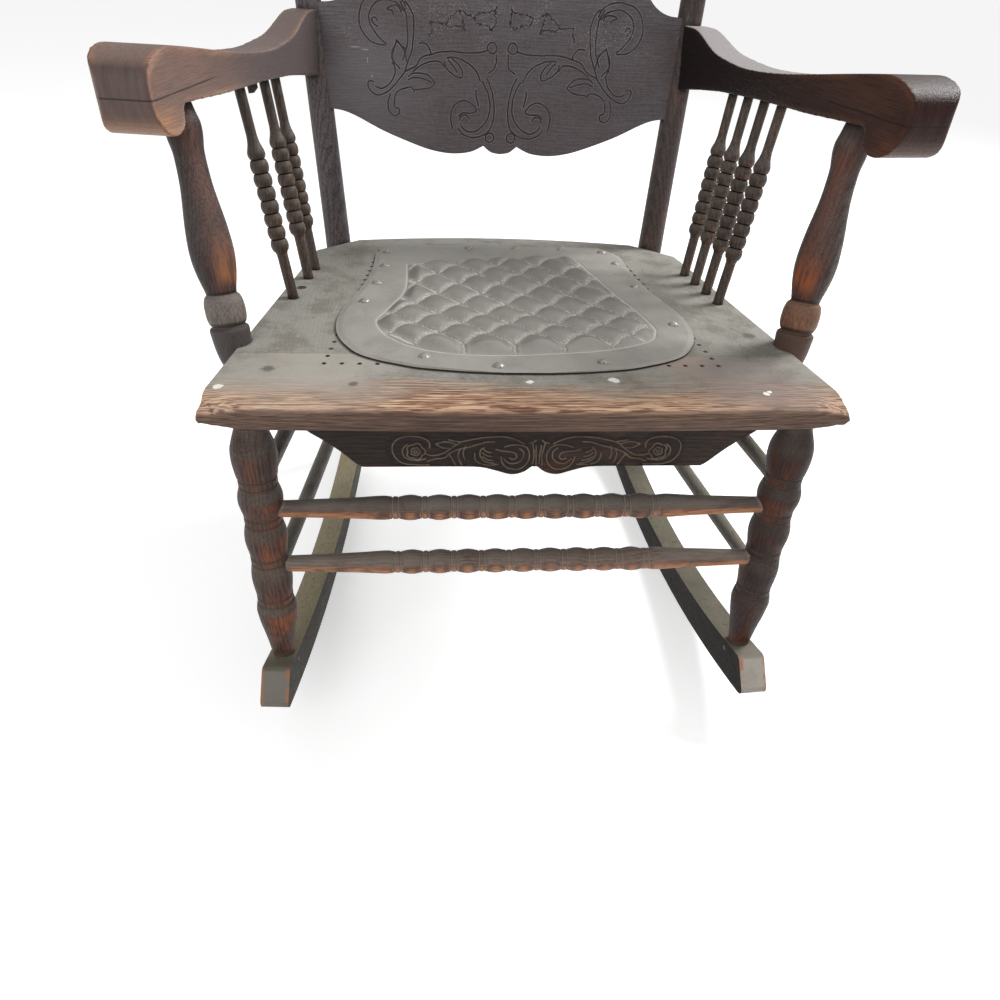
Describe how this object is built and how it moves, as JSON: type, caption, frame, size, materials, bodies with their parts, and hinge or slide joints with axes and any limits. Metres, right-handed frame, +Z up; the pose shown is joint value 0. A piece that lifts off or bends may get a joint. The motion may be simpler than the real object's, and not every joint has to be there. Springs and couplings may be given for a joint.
{
  "type": "rocking chair",
  "caption": "Low-backed oak arm rocker on curved runners, with turned legs, beaded spindles, a pressed back panel and a tufted leather panel nailed over the seat frame.",
  "frame": {"origin": "on the floor, midway between the two rockers, where they touch it with the chair standing empty", "axes": "+X across the chair towards the side that is on the right in a view from the front, +Y from the front of the chair to its back, +Z up"},
  "size_m": [0.6398, 0.7517, 0.7047],
  "materials": {
    "oak": "old dark oil finish, worn through to red-brown on the proud edges",
    "oak_seat": "bare, dusty and grey-green, with the front edge worn to orange-brown",
    "leather": "dry, dusty and faded",
    "tack_metal": "tarnished",
    "screw_metal": "tarnished"
  },
  "bodies": {
    "root": {"seat_front_rail": "oak_seat", "seat_back_rail": "oak_seat", "seat_side_rail_left": "oak_seat", "seat_side_rail_right": "oak_seat", "seat_dowels": "oak_seat", "seat_leather": "leather", "leather_tacks": "tack_metal", "front_apron": "oak", "apron_dowels": "oak", "back_post_left": "oak", "back_post_right": "oak", "back_panel": "oak", "arm_left": "oak", "arm_right": "oak", "arm_support_left": "oak", "arm_support_right": "oak", "spindle_right_1": "oak", "spindle_right_2": "oak", "spindle_right_3": "oak", "spindle_right_4": "oak", "spindle_left_1": "oak", "spindle_left_3": "oak", "spindle_left_4": "oak", "broken_spindle_left": "oak", "front_leg_left": "oak", "front_leg_right": "oak", "rocker_left": "oak", "rocker_right": "oak", "front_stretcher_upper": "oak", "front_stretcher_lower": "oak", "rear_stretcher": "oak", "side_stretcher_upper_left": "oak", "side_stretcher_upper_right": "oak", "side_stretcher_lower_left": "oak", "side_stretcher_lower_right": "oak", "arm_screws": "screw_metal", "frame_screws": "screw_metal", "rocker_pegs": "oak"}
  },
  "joints": []
}
